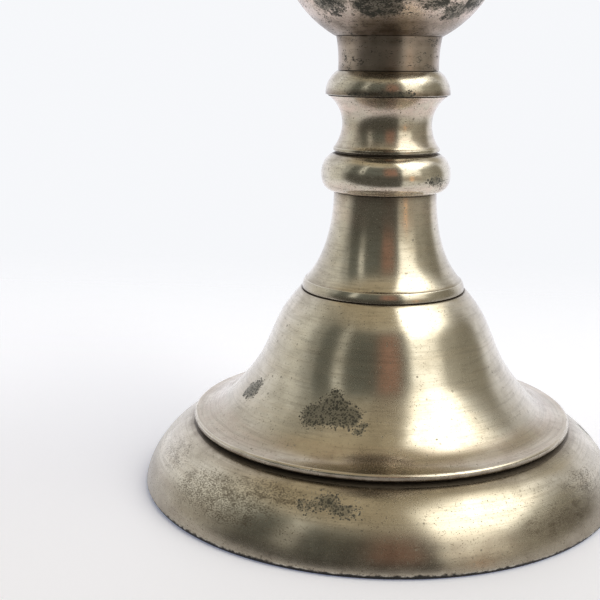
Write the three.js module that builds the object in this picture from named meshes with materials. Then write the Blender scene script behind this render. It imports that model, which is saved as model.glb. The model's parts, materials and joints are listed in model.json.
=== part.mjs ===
// A turned altar candlestick with a ball knop, in millimetres, +Z up, standing on Z = 0.
// Hollow brass sections are threaded on one steel tie rod: a spun foot and bell, a turned stem, a ball of
// two spun halves, the same stem turned over, and a capital. A pricket on top of the rod holds the candle,
// and a loose drip pan lies on the capital round it. A nut under an iron weight pulls the stack together.
import * as THREE from "three";

// Foot and bell.
const FOOT_RADIUS = 74.7;
const BELL_RIM_RADIUS = 59.2;
const BELL_RIM_Z = 20.8;
const BELL_TOP_RADIUS = 27;
const BELL_TOP_Z = 60.6;
const WEB_Z = BELL_TOP_Z + 1.3;
const WEIGHT_Z = 11;
const WEIGHT_TOP_Z = 27;
const WEIGHT_RADIUS = 52.6;
const COUNTERBORE_RADIUS = 13;
const COUNTERBORE_Z = WEIGHT_Z + 3;

// Stem sections between the bell and the ball, and the ball.
const NECK_RADIUS = 15.75;
const NECK_HEIGHT = 30.2;
const RING_HEIGHT = 11.6;
const SPOOL_HEIGHT = 16.9;
const BEAD_HEIGHT = 7.2;
const COLLAR_HEIGHT = 9.85;
const BALL_RADIUS = 33.7;
const BALL_OPENING_RADIUS = 16;
const BALL_CAP = Math.sqrt(BALL_RADIUS ** 2 - BALL_OPENING_RADIUS ** 2);

// Capital plate, drip pan and pricket.
const PLATE_RADIUS = 26.5;
const PLATE_HEIGHT = 2.2;
const PAN_RADIUS = 52;
const PAN_DEPTH = 10;
const PAN_HOLE_RADIUS = 11;
const DAM_HEIGHT = 5;
const FLANGE_RADIUS = 10;
const FLANGE_HEIGHT = 1.6;
const PRICKET_LENGTH = 62;
const PRICKET_HOLE_DEPTH = 14;

// Walls, and the registers that centre each section on the next.
const SPUN_WALL = 1.3;
const CAST_WALL = 2;
const JOINT_GAP = 0.15;
const FIT_GAP = 0.2;
const BORE_RADIUS = 8.5;
const SPIGOT_RADIUS = 11.2;
const SPIGOT_HEIGHT = 1.2;
const MOUTH_RADIUS = 22.7;
const MOUTH_REGISTER_RADIUS = 22;
const MOUTH_REGISTER_HEIGHT = 1;

// Tie rod, M6, and what is screwed on it.
const ROD_RADIUS = 3;
const ROD_HOLE_RADIUS = 3.4;
const ROD_FOOT_Z = 3.5;
const NUT_ACROSS_FLATS = 10;
const NUT_HEIGHT = 5;
const WASHER_RADIUS = 9;
const WASHER_HEIGHT = 1.5;
const LOCK_WASHER_RADIUS = 5.4;
const LOCK_WASHER_HEIGHT = 1.1;

// Facets round the axis, and points along each curved stretch of an outline.
const WIDE_FACETS = 32;
const STEM_FACETS = 20;
const SMALL_FACETS = 12;
const CURVE_STEPS = 5;

const finish = (color, roughness, metalness) =>
  new THREE.MeshStandardMaterial({ color, roughness, metalness });
const agedBrass = finish(0xa69c7e, 0.32, 1);
const paleBrass = finish(0xb3a88c, 0.28, 1);
const tarnishedBrass = finish(0x8d7f6c, 0.42, 1);
const steel = finish(0x77746e, 0.4, 1);
const castIron = finish(0x2f2d2b, 0.75, 0.6);

const at = (radius, z) => new THREE.Vector2(radius, z);

// Points of a path drawn in radius and height.
function outline(draw, steps = CURVE_STEPS) {
  const path = new THREE.Path();
  draw(path);
  return path.getPoints(steps);
}

// A solid of revolution about Z. Its loop runs up the outside and down the inside.
function turned(name, loop, material, facets = WIDE_FACETS) {
  const onAxis = loop[0].x === 0 && loop.at(-1).x === 0;
  const points = onAxis ? loop : [...loop, loop[0].clone()];
  const mesh = new THREE.Mesh(new THREE.LatheGeometry(points, facets), material);
  mesh.name = name;
  mesh.rotation.x = Math.PI / 2;
  return mesh;
}

// The inside of a wall of even thickness, given its outside from the bottom up. It runs back down.
function inside(outer, wall) {
  return outer
    .map((point, i) => {
      const before = outer[Math.max(i - 1, 0)];
      const after = outer[Math.min(i + 1, outer.length - 1)];
      const along = after.clone().sub(before).normalize();
      return at(point.x - along.y * wall, point.y + along.x * wall);
    })
    .reverse();
}

// The same loop upside down in a section of the given height.
const turnedOver = (loop, height) => loop.map((p) => at(p.x, height - p.y)).reverse();

const placed = (mesh, z) => {
  mesh.position.z = z;
  return mesh;
};

// The top of a stem section: a spigot round its bore.
const spigotOn = (height) => [
  at(SPIGOT_RADIUS, height),
  at(SPIGOT_RADIUS, height + SPIGOT_HEIGHT),
  at(BORE_RADIUS, height + SPIGOT_HEIGHT),
];

// A stem section's loop: its outside, a spigot on top, a bore, and a recess below for the next spigot.
function bored(outer, height) {
  const recessRadius = SPIGOT_RADIUS + FIT_GAP;
  const recessHeight = SPIGOT_HEIGHT + FIT_GAP;
  return [
    ...outer,
    ...spigotOn(height),
    at(BORE_RADIUS, recessHeight),
    at(recessRadius, recessHeight),
    at(recessRadius, 0),
  ];
}

// Spun foot: a hemmed lip on the table, a rounded skirt, and a sloping seat that the bell is soldered to.
function foot() {
  const lipRadius = FOOT_RADIUS - 0.8;
  const lipWidth = 3;
  const skirt = outline((path) =>
    path
      .moveTo(FOOT_RADIUS, 1.2)
      .bezierCurveTo(73.6, 9.4, 64.6, 18.8, BELL_RIM_RADIUS - 0.6, BELL_RIM_Z - 1.1)
      .lineTo(55.8, BELL_RIM_Z - 0.7)
      .lineTo(54.9, 21.7)
      .lineTo(47.5, 24.8),
  );
  return turned(
    "foot_flange",
    [
      at(lipRadius - lipWidth, 0),
      at(lipRadius, 0),
      ...skirt,
      ...inside(skirt, SPUN_WALL),
      at(lipRadius - lipWidth, SPUN_WALL),
    ],
    agedBrass,
  );
}

// Iron weight that bears up on the foot's seat, with a counterbore below for the nut.
function weight() {
  return turned(
    "base_weight",
    [
      at(COUNTERBORE_RADIUS, WEIGHT_Z),
      at(WEIGHT_RADIUS - 2.6, WEIGHT_Z),
      at(WEIGHT_RADIUS, WEIGHT_Z + 2),
      at(WEIGHT_RADIUS, 21),
      at(46.8, 23.4),
      at(46.8, WEIGHT_TOP_Z - 3),
      at(42, WEIGHT_TOP_Z),
      at(ROD_HOLE_RADIUS, WEIGHT_TOP_Z),
      at(ROD_HOLE_RADIUS, COUNTERBORE_Z),
      at(COUNTERBORE_RADIUS, COUNTERBORE_Z),
    ],
    castIron,
  );
}

// Spun bell: a rolled rim that stands clear of the foot, an ogee wall, and a web that carries the stem.
function bell() {
  const ogee = outline((path) =>
    path
      .moveTo(BELL_RIM_RADIUS - 0.5, BELL_RIM_Z + 2.1)
      .bezierCurveTo(50.4, 23.2, 47.7, 27.5, 42.8, 33.2)
      .bezierCurveTo(34.2, 43.3, 35.1, 52, BELL_TOP_RADIUS, BELL_TOP_Z),
  );
  const hollow = inside(ogee.slice(1, -1), SPUN_WALL);
  return turned(
    "bell_base",
    [
      at(BELL_RIM_RADIUS - 1.6, BELL_RIM_Z + 0.2),
      at(BELL_RIM_RADIUS - 0.6, BELL_RIM_Z),
      at(BELL_RIM_RADIUS, BELL_RIM_Z + 0.5),
      at(BELL_RIM_RADIUS, BELL_RIM_Z + 1.6),
      ...ogee,
      at(BELL_TOP_RADIUS - 1.2, WEB_Z),
      at(MOUTH_REGISTER_RADIUS, WEB_Z),
      at(MOUTH_REGISTER_RADIUS, WEB_Z + MOUTH_REGISTER_HEIGHT),
      at(ROD_HOLE_RADIUS, WEB_Z + MOUTH_REGISTER_HEIGHT),
      at(ROD_HOLE_RADIUS, WEB_Z - CAST_WALL),
      at(BELL_TOP_RADIUS - 2.6, WEB_Z - CAST_WALL),
      ...hollow,
    ],
    agedBrass,
  );
}

// Flared neck: a raised band at its foot, a long hollow curve, and a web on top. Its mouth is open.
function neckLoop() {
  const band = outline(
    (path) => path.moveTo(25.2, 0.2).quadraticCurveTo(25.3, 1.6, 24.4, 3),
    3,
  );
  const flare = outline((path) =>
    path.moveTo(24, 3.2).bezierCurveTo(18.7, 8.8, 15.9, 18.6, NECK_RADIUS, NECK_HEIGHT),
  );
  const webZ = NECK_HEIGHT - CAST_WALL;
  const hollow = inside(flare, CAST_WALL).filter((p) => p.y < webZ - 1);
  return [
    at(24.9, 0),
    ...band,
    ...flare,
    ...spigotOn(NECK_HEIGHT),
    at(BORE_RADIUS, webZ),
    at(NECK_RADIUS - CAST_WALL, webZ),
    ...hollow,
    at(MOUTH_RADIUS, 0),
  ];
}

// Full round ring, widest a little below its middle.
const ringLoop = () =>
  bored(
    outline((path) =>
      path
        .moveTo(16, 0)
        .bezierCurveTo(18.6, 0.2, 19.8, 2.4, 19.8, 5.2)
        .bezierCurveTo(19.8, 8.2, 18.4, 10.8, 15.8, RING_HEIGHT),
    ),
    RING_HEIGHT,
  );

// Waisted spool: a quirk and a fillet at the foot, and a mouth that spreads to the bead above.
const spoolLoop = () =>
  bored(
    outline((path) =>
      path
        .moveTo(15.5, 0)
        .lineTo(15.5, 0.4)
        .lineTo(16.2, 0.6)
        .lineTo(16.2, 1.5)
        .lineTo(15.7, 1.9)
        .bezierCurveTo(14.4, 4, 13.6, 6.2, 13.6, 8.6)
        .bezierCurveTo(13.6, 11.8, 15.2, 15, 18, SPOOL_HEIGHT),
    ),
    SPOOL_HEIGHT,
  );

// Half-round bead with a sharp lower edge.
const beadLoop = () =>
  bored(
    outline((path) =>
      path
        .moveTo(17.9, 0)
        .lineTo(18.8, 0.3)
        .lineTo(18.8, 0.8)
        .bezierCurveTo(18.8, 3.4, 17.4, 5.8, 15.4, BEAD_HEIGHT),
    ),
    BEAD_HEIGHT,
  );

// Plain collar, a little wider where it meets the ball.
const collarLoop = () =>
  bored(
    outline((path) => path.moveTo(15.1, 0).quadraticCurveTo(14.9, 5.5, 15.8, COLLAR_HEIGHT), 4),
    COLLAR_HEIGHT,
  );

// Lower half of the ball, spun from sheet, from its opening up to the seam.
function ballHalfLoop() {
  const arcSteps = 4;
  const meridian = (radius, startHeight) =>
    outline(
      (path) => path.absarc(0, BALL_CAP, radius, -Math.asin((BALL_CAP - startHeight) / radius), 0),
      arcSteps,
    );
  const edgeZ = 0.1;
  return [
    at(BALL_OPENING_RADIUS - 0.6, edgeZ),
    ...meridian(BALL_RADIUS, 0),
    ...meridian(BALL_RADIUS - SPUN_WALL, SPUN_WALL).reverse(),
    at(SPIGOT_RADIUS + FIT_GAP, SPUN_WALL),
    at(SPIGOT_RADIUS + FIT_GAP, edgeZ),
  ];
}

// Plate that closes the capital's mouth, with a register below. The drip pan lies on it.
function capitalPlate() {
  const edge = outline(
    (path) =>
      path
        .moveTo(PLATE_RADIUS - 1.6, 0)
        .quadraticCurveTo(PLATE_RADIUS, 0, PLATE_RADIUS, PLATE_HEIGHT / 2)
        .lineTo(PLATE_RADIUS, PLATE_HEIGHT - 0.3)
        .lineTo(PLATE_RADIUS - 0.3, PLATE_HEIGHT),
    3,
  );
  return turned(
    "capital_plate",
    [
      at(ROD_HOLE_RADIUS, -MOUTH_REGISTER_HEIGHT),
      at(MOUTH_REGISTER_RADIUS, -MOUTH_REGISTER_HEIGHT),
      at(MOUTH_REGISTER_RADIUS, 0),
      ...edge,
      at(ROD_HOLE_RADIUS, PLATE_HEIGHT),
    ],
    agedBrass,
    STEM_FACETS,
  );
}

// Drip pan: a flat floor round the pricket, a rising wall and a rolled rim. A dam round its hole keeps
// wax in, and a skirt below centres it on the plate.
function pan() {
  const skirtRadius = PLATE_RADIUS + 0.4;
  const skirtDepth = 1.4;
  const rimRadius = 1.3;
  const rimCentre = at(PAN_RADIUS - rimRadius, PAN_DEPTH - rimRadius);
  const wall = outline((path) =>
    path.moveTo(38, 0).bezierCurveTo(43.5, 0.4, 44.5, 6.2, rimCentre.x - rimRadius, rimCentre.y - 0.9),
  );
  const rim = outline(
    (path) => path.absarc(rimCentre.x, rimCentre.y, rimRadius, -0.5 * Math.PI, 0.9 * Math.PI),
    5,
  );
  return turned(
    "drip_pan",
    [
      at(PAN_HOLE_RADIUS, 0),
      at(skirtRadius, 0),
      at(skirtRadius, -skirtDepth),
      at(skirtRadius + SPUN_WALL, -skirtDepth),
      at(skirtRadius + SPUN_WALL, 0),
      ...wall,
      ...rim,
      ...inside(wall, SPUN_WALL),
      at(PAN_HOLE_RADIUS + SPUN_WALL, SPUN_WALL),
      at(PAN_HOLE_RADIUS + SPUN_WALL, DAM_HEIGHT),
      at(PAN_HOLE_RADIUS, DAM_HEIGHT),
    ],
    paleBrass,
  );
}

// Pricket: a flange that the candle stands on, and a spike with a blind hole below for the rod.
function pricket() {
  const holeRadius = ROD_RADIUS + 0.15;
  return turned(
    "pricket",
    [
      at(0, PRICKET_HOLE_DEPTH),
      at(holeRadius, PRICKET_HOLE_DEPTH),
      at(holeRadius, 0),
      at(FLANGE_RADIUS - 0.6, 0),
      at(FLANGE_RADIUS, 0.5),
      at(FLANGE_RADIUS, FLANGE_HEIGHT),
      at(6, FLANGE_HEIGHT),
      at(5.2, FLANGE_HEIGHT + 1),
      at(5.6, FLANGE_HEIGHT + 2.2),
      at(5, FLANGE_HEIGHT + 3.4),
      at(4.4, PRICKET_HOLE_DEPTH + 3),
      at(0.5, PRICKET_LENGTH - 1),
      at(0, PRICKET_LENGTH),
    ],
    steel,
    STEM_FACETS,
  );
}

// A flat steel piece of even thickness.
function pressed(name, shape, depth) {
  const settings = { depth, bevelEnabled: false, curveSegments: SMALL_FACETS };
  const mesh = new THREE.Mesh(new THREE.ExtrudeGeometry(shape, settings), steel);
  mesh.name = name;
  return mesh;
}

// Hexagonal nut with a plain hole.
function nut(name) {
  const corner = at(NUT_ACROSS_FLATS / Math.sqrt(3), 0);
  const corners = Array.from({ length: 6 }, (_, i) =>
    corner.clone().rotateAround(at(0, 0), (i * Math.PI) / 3),
  );
  const hexagon = new THREE.Shape(corners);
  hexagon.holes.push(new THREE.Path().absarc(0, 0, ROD_RADIUS + 0.1, 0, 2 * Math.PI, true));
  return pressed(name, hexagon, NUT_HEIGHT);
}

// Spring washer, split on one side.
function lockWasher(name) {
  const halfSplit = 0.12;
  const ring = new THREE.Shape()
    .absarc(0, 0, LOCK_WASHER_RADIUS, halfSplit, 2 * Math.PI - halfSplit)
    .absarc(0, 0, ROD_HOLE_RADIUS, 2 * Math.PI - halfSplit, halfSplit, true);
  return pressed(name, ring, LOCK_WASHER_HEIGHT);
}

// A plain steel tube or washer.
const sleeve = (name, outerRadius, innerRadius, height) =>
  turned(
    name,
    [at(outerRadius, 0), at(outerRadius, height), at(innerRadius, height), at(innerRadius, 0)],
    steel,
    STEM_FACETS,
  );

const candlestick = new THREE.Group();

// Foot, weight and bell.
candlestick.add(foot(), weight(), bell());

// Stem sections below the ball, from the bell up, and the same ones turned over above it.
const stem = [
  ["neck_cone", "capital_cone", neckLoop(), NECK_HEIGHT, agedBrass],
  ["lower_ring", "upper_ring", ringLoop(), RING_HEIGHT, paleBrass],
  ["lower_spool", "upper_spool", spoolLoop(), SPOOL_HEIGHT, agedBrass],
  ["lower_bead", "upper_bead", beadLoop(), BEAD_HEIGHT, paleBrass],
  ["lower_collar", "upper_collar", collarLoop(), COLLAR_HEIGHT, tarnishedBrass],
];
const stemHeight = stem.reduce((sum, [, , , height]) => sum + height + JOINT_GAP, 0);
const stemZ = WEB_Z + JOINT_GAP;
const ballZ = stemZ + stemHeight;
const ballCentreZ = ballZ + BALL_CAP;
const capitalTopZ = 2 * ballCentreZ - stemZ;

let sectionZ = stemZ;
for (const [lowerName, upperName, loop, height, material] of stem) {
  const upperZ = 2 * ballCentreZ - sectionZ - height;
  const upperLoop = turnedOver(loop, height);
  candlestick.add(placed(turned(lowerName, loop, material, STEM_FACETS), sectionZ));
  candlestick.add(placed(turned(upperName, upperLoop, material, STEM_FACETS), upperZ));
  sectionZ += height + JOINT_GAP;
}

// Ball of two halves that meet at its equator, and the tube inside it that takes the rod's pull.
const halfSeam = JOINT_GAP / 2;
const lowerHalf = ballHalfLoop();
const upperHalf = turnedOver(lowerHalf, BALL_CAP);
const spacerHeight = 2 * (BALL_CAP - SPIGOT_HEIGHT);
candlestick.add(
  placed(turned("ball_lower_half", lowerHalf, tarnishedBrass), ballZ - halfSeam),
  placed(turned("ball_upper_half", upperHalf, tarnishedBrass), ballCentreZ + halfSeam),
  placed(sleeve("spacer_tube", SPIGOT_RADIUS, BORE_RADIUS, spacerHeight), ballZ + SPIGOT_HEIGHT),
);

// Capital plate, the clamp on it, the pricket above, and the loose drip pan round them.
const plateZ = capitalTopZ + JOINT_GAP;
const seatZ = plateZ + PLATE_HEIGHT;
const capitalWasherZ = seatZ + JOINT_GAP;
const capitalNutZ = capitalWasherZ + WASHER_HEIGHT + JOINT_GAP;
const pricketZ = capitalNutZ + NUT_HEIGHT + JOINT_GAP;
candlestick.add(
  placed(capitalPlate(), plateZ),
  placed(sleeve("capital_washer", WASHER_RADIUS, ROD_HOLE_RADIUS, WASHER_HEIGHT), capitalWasherZ),
  placed(nut("capital_nut"), capitalNutZ),
  placed(pricket(), pricketZ),
  placed(pan(), seatZ + JOINT_GAP),
);

// Clamp in the weight's counterbore.
const footWasherZ = COUNTERBORE_Z - JOINT_GAP - WASHER_HEIGHT;
const lockWasherZ = footWasherZ - JOINT_GAP - LOCK_WASHER_HEIGHT;
const footNutZ = lockWasherZ - JOINT_GAP - NUT_HEIGHT;
candlestick.add(
  placed(sleeve("foot_washer", WASHER_RADIUS, ROD_HOLE_RADIUS, WASHER_HEIGHT), footWasherZ),
  placed(lockWasher("lock_washer"), lockWasherZ),
  placed(nut("foot_nut"), footNutZ),
);

// Tie rod, from below the foot nut to near the end of the pricket's hole.
const rodLength = pricketZ + PRICKET_HOLE_DEPTH - 1 - ROD_FOOT_Z;
const rodLoop = [at(0, 0), at(ROD_RADIUS, 0), at(ROD_RADIUS, rodLength), at(0, rodLength)];
candlestick.add(placed(turned("tie_rod", rodLoop, steel, STEM_FACETS), ROD_FOOT_Z));

export default candlestick;
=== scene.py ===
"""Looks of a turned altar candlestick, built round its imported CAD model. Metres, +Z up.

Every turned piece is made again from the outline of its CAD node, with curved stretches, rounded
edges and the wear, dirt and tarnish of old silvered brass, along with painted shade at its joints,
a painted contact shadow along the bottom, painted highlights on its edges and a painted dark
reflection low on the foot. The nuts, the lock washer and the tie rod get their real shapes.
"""
import json
import math
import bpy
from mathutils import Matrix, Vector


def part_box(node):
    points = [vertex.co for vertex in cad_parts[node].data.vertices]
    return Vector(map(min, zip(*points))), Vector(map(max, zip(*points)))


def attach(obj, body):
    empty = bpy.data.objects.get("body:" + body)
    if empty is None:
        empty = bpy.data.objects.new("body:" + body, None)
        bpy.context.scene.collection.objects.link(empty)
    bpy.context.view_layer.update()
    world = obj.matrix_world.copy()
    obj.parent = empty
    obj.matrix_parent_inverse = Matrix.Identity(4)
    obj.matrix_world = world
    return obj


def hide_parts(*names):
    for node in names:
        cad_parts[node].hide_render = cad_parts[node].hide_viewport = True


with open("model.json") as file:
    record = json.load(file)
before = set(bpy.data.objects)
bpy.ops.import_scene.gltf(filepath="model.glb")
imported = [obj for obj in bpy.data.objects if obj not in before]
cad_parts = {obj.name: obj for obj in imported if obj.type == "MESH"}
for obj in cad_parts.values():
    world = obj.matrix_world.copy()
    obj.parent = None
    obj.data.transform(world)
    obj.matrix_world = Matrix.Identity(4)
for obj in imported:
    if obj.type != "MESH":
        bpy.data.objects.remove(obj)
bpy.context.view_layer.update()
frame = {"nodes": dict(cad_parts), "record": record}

from types import SimpleNamespace

import bpy
import numpy as np
from mathutils import Matrix, Vector

MM = 0.001

# ---------------------------------------------------------------- camera

CAMERA_PLACE = Vector((0.0, -0.3331, 0.1330))
CAMERA_DOWN = math.radians(12.79)
CAMERA_LEFT = math.radians(4.46)
CAMERA_ROLL = math.radians(0.52)
CAMERA_LENS = 64.92


def make_camera():
    """A close, low view that looks a little down and to the left of the stem."""
    forward = Vector((
        -math.sin(CAMERA_LEFT) * math.cos(CAMERA_DOWN),
        math.cos(CAMERA_LEFT) * math.cos(CAMERA_DOWN),
        -math.sin(CAMERA_DOWN),
    ))
    level = Vector((math.cos(CAMERA_LEFT), math.sin(CAMERA_LEFT), 0))
    upright = level.cross(forward)
    right = level * math.cos(CAMERA_ROLL) + upright * math.sin(CAMERA_ROLL)
    up = upright * math.cos(CAMERA_ROLL) - level * math.sin(CAMERA_ROLL)
    data = bpy.data.cameras.new("camera")
    data.lens = CAMERA_LENS
    data.clip_start = 0.01
    camera = bpy.data.objects.new("camera", data)
    camera.matrix_world = Matrix((
        (right.x, up.x, -forward.x, CAMERA_PLACE.x),
        (right.y, up.y, -forward.y, CAMERA_PLACE.y),
        (right.z, up.z, -forward.z, CAMERA_PLACE.z),
        (0, 0, 0, 1),
    ))
    bpy.context.scene.collection.objects.link(camera)
    bpy.context.scene.camera = camera


# ---------------------------------------------------------------- shader graphs


class Graph:
    """Shader nodes written as nested calls. An input is a number, a colour or a node's output."""

    def __init__(self, tree):
        self.tree = tree
        tree.nodes.clear()

    def node(self, kind, inputs=None, **settings):
        made = self.tree.nodes.new(kind)
        for name, value in settings.items():
            setattr(made, name, value)
        for name, value in (inputs or {}).items():
            if isinstance(value, bpy.types.NodeSocket):
                self.tree.links.new(value, made.inputs[name])
            else:
                made.inputs[name].default_value = value
        return made

    def math(self, operation, *values):
        return self.node("ShaderNodeMath", dict(enumerate(values)), operation=operation).outputs[0]

    def add(self, a, b):
        return self.math("ADD", a, b)

    def times(self, a, b):
        return self.math("MULTIPLY", a, b)

    def less(self, a, b):
        return self.math("SUBTRACT", a, b)

    def either(self, a, b):
        return self.math("MAXIMUM", a, b)

    def swing(self, noise, amount):
        """A noise made to swing about 0."""
        return self.times(self.less(noise, 0.5), amount)

    def smooth(self, value, low, high, start=0.0, end=1.0):
        """Goes from start to end as value goes from low to high."""
        inputs = {"Value": value, "From Min": low, "From Max": high, "To Min": start, "To Max": end}
        return self.node("ShaderNodeMapRange", inputs, interpolation_type="SMOOTHSTEP").outputs[0]

    def between(self, value, low, high, soft):
        """1 where value lies from low to high, with soft borders."""
        rise = self.smooth(value, low - soft, low + soft)
        fall = self.smooth(value, high - soft, high + soft, 1.0, 0.0)
        return self.times(rise, fall)

    def mix(self, share, a, b):
        """Colour a, going over to colour b."""
        made = self.node("ShaderNodeMix", data_type="RGBA", clamp_factor=True)
        for name, value in (("Factor_Float", share), ("A_Color", a), ("B_Color", b)):
            socket = next(s for s in made.inputs if s.identifier == name)
            if isinstance(value, bpy.types.NodeSocket):
                self.tree.links.new(value, socket)
            else:
                socket.default_value = (*value, 1.0) if hasattr(value, "__len__") else value
        return next(s for s in made.outputs if s.identifier == "Result_Color")

    def noise(self, vector, scale, detail=2.0, roughness=0.5, **more):
        inputs = {
            "Vector": vector, "Scale": scale, "Detail": detail, "Roughness": roughness, **more,
        }
        dimensions = "4D" if "W" in more else "3D"
        return self.node("ShaderNodeTexNoise", inputs, noise_dimensions=dimensions).outputs[0]

    def dots(self, vector, scale, share, size):
        """Round dots in a share of the cells of a random mesh.
        Their size is a share of a cell's width."""
        cell = self.node("ShaderNodeTexVoronoi", {"Vector": vector, "Scale": scale})
        pick = self.node("ShaderNodeSeparateColor", {"Color": cell.outputs["Color"]}).outputs
        there = self.smooth(self.less(share, pick[0]), -0.03, 0.03)
        wide = self.add(size, self.swing(pick[1], 0.16))
        depth = self.less(wide, cell.outputs["Distance"])
        return self.times(there, self.smooth(depth, -0.08, 0.08))

    def attribute(self, name):
        """Numbers that keep_numbers stored on the mesh."""
        return self.node("ShaderNodeAttribute", attribute_name=name).outputs["Fac"]

    def bump(self, heights, strength, depth):
        """A surface that heights make uneven, by a depth in metres where they are 1."""
        inputs = {"Strength": strength, "Distance": depth, "Height": heights}
        return self.node("ShaderNodeBump", inputs).outputs[0]

    def principled(self, inputs):
        """Ends a material with one principled surface."""
        shader = self.node("ShaderNodeBsdfPrincipled", inputs)
        self.node("ShaderNodeOutputMaterial", {"Surface": shader.outputs[0]})


def new_material(name):
    """An empty material and the graph to fill."""
    material = bpy.data.materials.new(name)
    material.use_nodes = True
    return material, Graph(material.node_tree)


# ---------------------------------------------------------------- world and floor

# The studio as seen from the stick. Bearings are in degrees from the camera's side, to the right.
PALE_WALL = (1.06, 1.06, 1.14)
BEIGE_WALL = (0.80, 0.785, 0.72)
CEILING = (0.50, 0.425, 0.30)
DUSKY_WALL = (0.50, 0.455, 0.37)
DARK_FURNITURE = (0.105, 0.100, 0.085)
DARK_ROOM = (0.165, 0.170, 0.148)
TERRACOTTA = (0.42, 0.235, 0.17)
PALE_POST = (0.85, 0.83, 0.74)
SIDE_WALL_NEAR = (0.48, 0.45, 0.37)
SIDE_WALL_FAR = (0.33, 0.305, 0.245)
SILL_LOW = (0.46, 0.40, 0.31)
SILL_HIGH = (1.5, 1.43, 1.25)
LAMP_GLOW = (1.15, 0.68, 0.38)
WINDOW = (3.4, 3.3, 3.0)
BACKDROP = (0.925, 0.935, 0.96)


def make_world():
    """Soft studio surroundings that only reflections and light see, and a plain pale background."""
    world = bpy.data.worlds.new("studio")
    world.use_nodes = True
    bpy.context.scene.world = world
    g = Graph(world.node_tree)
    direction = g.node("ShaderNodeTexCoord").outputs["Generated"]
    x, y, z = g.node("ShaderNodeSeparateXYZ", {"Vector": direction}).outputs
    bearing = g.math("DEGREES", g.math("ARCTAN2", x, g.times(y, -1)))
    height = g.math("DEGREES", g.math("ARCSINE", z))

    def area(left, right, side_blur, bottom, top, edge_blur):
        """1 inside a rectangle of bearings and heights."""
        across = g.between(bearing, left, right, side_blur)
        return g.times(across, g.between(height, bottom, top, edge_blur))

    colour = g.mix(g.smooth(g.math("ABSOLUTE", bearing), 92, 150), BEIGE_WALL, PALE_WALL)
    dusk = g.times(g.smooth(g.math("ABSOLUTE", bearing), 118, 136), g.between(height, 18, 48, 7))
    colour = g.mix(g.times(dusk, 0.42), colour, DUSKY_WALL)
    colour = g.mix(g.times(area(128, 158, 7, 25, 44, 6), 0.95), colour, DUSKY_WALL)
    colour = g.mix(g.smooth(height, 32, 62), colour, CEILING)
    room = g.times(g.smooth(bearing, -96, -66), g.smooth(bearing, 27, 35, 1, 0))
    room = g.times(room, g.smooth(height, 42, 55, 1, 0))
    colour = g.mix(room, colour, g.mix(g.smooth(height, 2, 24), DARK_FURNITURE, DARK_ROOM))
    colour = g.mix(g.times(area(-2, 22, 5, 12, 44, 7), 0.85), colour, TERRACOTTA)
    for post, width, share in ((-44, 5, 0.95), (-74, 3, 0.35)):
        strip = area(post - width, post + width, 3, 16, 50, 8)
        colour = g.mix(g.times(strip, share), colour, PALE_POST)
    side = g.times(g.between(bearing, 62, 121, 9), g.smooth(height, 25, 38, 1, 0))
    colour = g.mix(side, colour, g.mix(g.smooth(bearing, 76, 106), SIDE_WALL_NEAR, SIDE_WALL_FAR))
    sill = g.mix(g.smooth(height, 3, 18), SILL_LOW, SILL_HIGH)
    colour = g.mix(area(31, 66, 4, -8, 26, 5), colour, sill)
    colour = g.mix(area(44, 50, 2, -8, 8, 3), colour, LAMP_GLOW)
    above_sill = g.smooth(g.less(height, g.smooth(bearing, 36, 92, 17, 36)), -3, 6)
    window = g.times(above_sill, g.smooth(height, 62, 76, 1, 0))
    window = g.times(g.between(bearing, 34, 128, 5), window)
    window = g.times(window, g.smooth(bearing, 88, 120, 1, 0.22))
    colour = g.mix(g.times(window, g.smooth(height, 26, 48, 0.34, 1)), colour, WINDOW)

    lit = g.node("ShaderNodeBackground", {"Color": colour, "Strength": 1.0})
    seen = g.node("ShaderNodeBackground", {"Color": (*BACKDROP, 1), "Strength": 1.0})
    for_camera = g.node("ShaderNodeLightPath").outputs["Is Camera Ray"]
    shown = g.node("ShaderNodeMixShader", {0: for_camera, 1: lit.outputs[0], 2: seen.outputs[0]})
    g.node("ShaderNodeOutputWorld", {"Surface": shown.outputs[0]})


FLOOR_Z = -0.00005
FLOOR_COLOUR = (0.92, 0.93, 0.96, 1)
# A glow stands for the light that a real room throws on the floor, more of it behind the stick.
FLOOR_GLOW_NEAR = (0.07, 0.088, 0.15)
FLOOR_GLOW_FAR = (0.22, 0.25, 0.33)


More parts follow.
